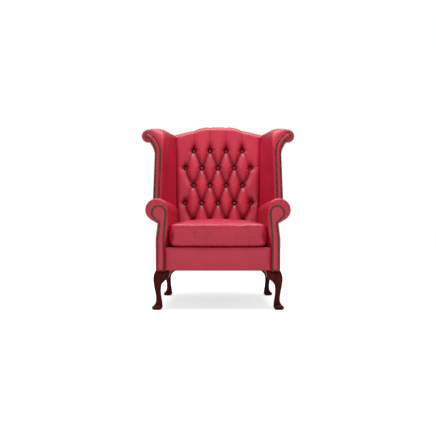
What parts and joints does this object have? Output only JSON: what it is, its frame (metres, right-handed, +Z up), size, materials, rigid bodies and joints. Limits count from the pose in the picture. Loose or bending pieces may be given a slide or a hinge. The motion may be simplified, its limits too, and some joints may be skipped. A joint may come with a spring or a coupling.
{
  "type": "wing armchair",
  "caption": "Wing armchair with a deep-buttoned back, scroll arms and wings edged with nails, a loose seat cushion and cabriole legs.",
  "frame": {"origin": "on the floor under the middle of the chair's box", "axes": "+Z up; the chair faces -Y; +X is to the right seen from the front"},
  "size_m": [0.936, 0.84, 1.124],
  "materials": {
    "leather": "crimson upholstery leather, fine grain, satin",
    "mahogany": "dark reddish mahogany stain under gloss lacquer",
    "beech": "planed hardwood, unfinished",
    "steel": "zinc-plated steel",
    "brass_nails": "dark antique brass",
    "zip_metal": "antique brass slider",
    "zip_tape": "woven tape with a coil chain",
    "webbing": "woven elastic webbing",
    "foam": "soft filling in ticking",
    "platform_cloth": "plain woven platform cloth over wadding",
    "base_cloth": "black bottoming cloth"
  },
  "bodies": {
    "chair": {"arm_facing_left": "leather", "arm_facing_right": "leather", "arm_nails_left": "brass_nails", "arm_nails_right": "brass_nails", "arm_pad_left": "leather", "arm_pad_right": "leather", "back_buttons": "leather", "back_cross_webbing": "webbing", "back_pad": "leather", "back_webbing": "webbing", "base_cloth": "base_cloth", "corner_blocks": "beech", "frame_arm_rail_left": "beech", "frame_arm_rail_right": "beech", "frame_arm_stump_left": "beech", "frame_arm_stump_right": "beech", "frame_back_post_left": "beech", "frame_back_post_right": "beech", "frame_back_rail": "beech", "frame_back_tack_rail": "beech", "frame_crest_rail": "beech", "frame_front_rail": "beech", "frame_side_rail_left": "beech", "frame_side_rail_right": "beech", "frame_wing_board_left": "beech", "frame_wing_board_right": "beech", "frame_wing_rail_left": "beech", "frame_wing_rail_right": "beech", "front_border": "leather", "leg_bolts": "steel", "leg_front_left": "mahogany", "leg_front_right": "mahogany", "leg_rear_left": "mahogany", "leg_rear_right": "mahogany", "outside_back_panel": "leather", "seat_deck_pad": "platform_cloth", "seat_webbing_cross": "webbing", "seat_webbing_long": "webbing", "side_panel_left": "leather", "side_panel_right": "leather", "wing_facing_left": "leather", "wing_facing_right": "leather", "wing_nails_left": "brass_nails", "wing_nails_right": "brass_nails", "wing_outside_panel_left": "leather", "wing_outside_panel_right": "leather", "wing_pad_left": "leather", "wing_pad_right": "leather"},
    "seat_cushion": {"cushion_cover": "leather", "cushion_foam": "foam", "cushion_zip": "zip_tape"},
    "zip_slider": {"zip_slider": "zip_metal"}
  },
  "joints": [
    {"name": "cushion_lift", "type": "slide", "parent": "chair", "child": "seat_cushion", "axis": [0, 0, 1], "range_m": [0, 0.3]},
    {"name": "zip_travel", "type": "slide", "parent": "seat_cushion", "child": "zip_slider", "axis": [1, 0, 0], "range_m": [0, 0.36]}
  ]
}
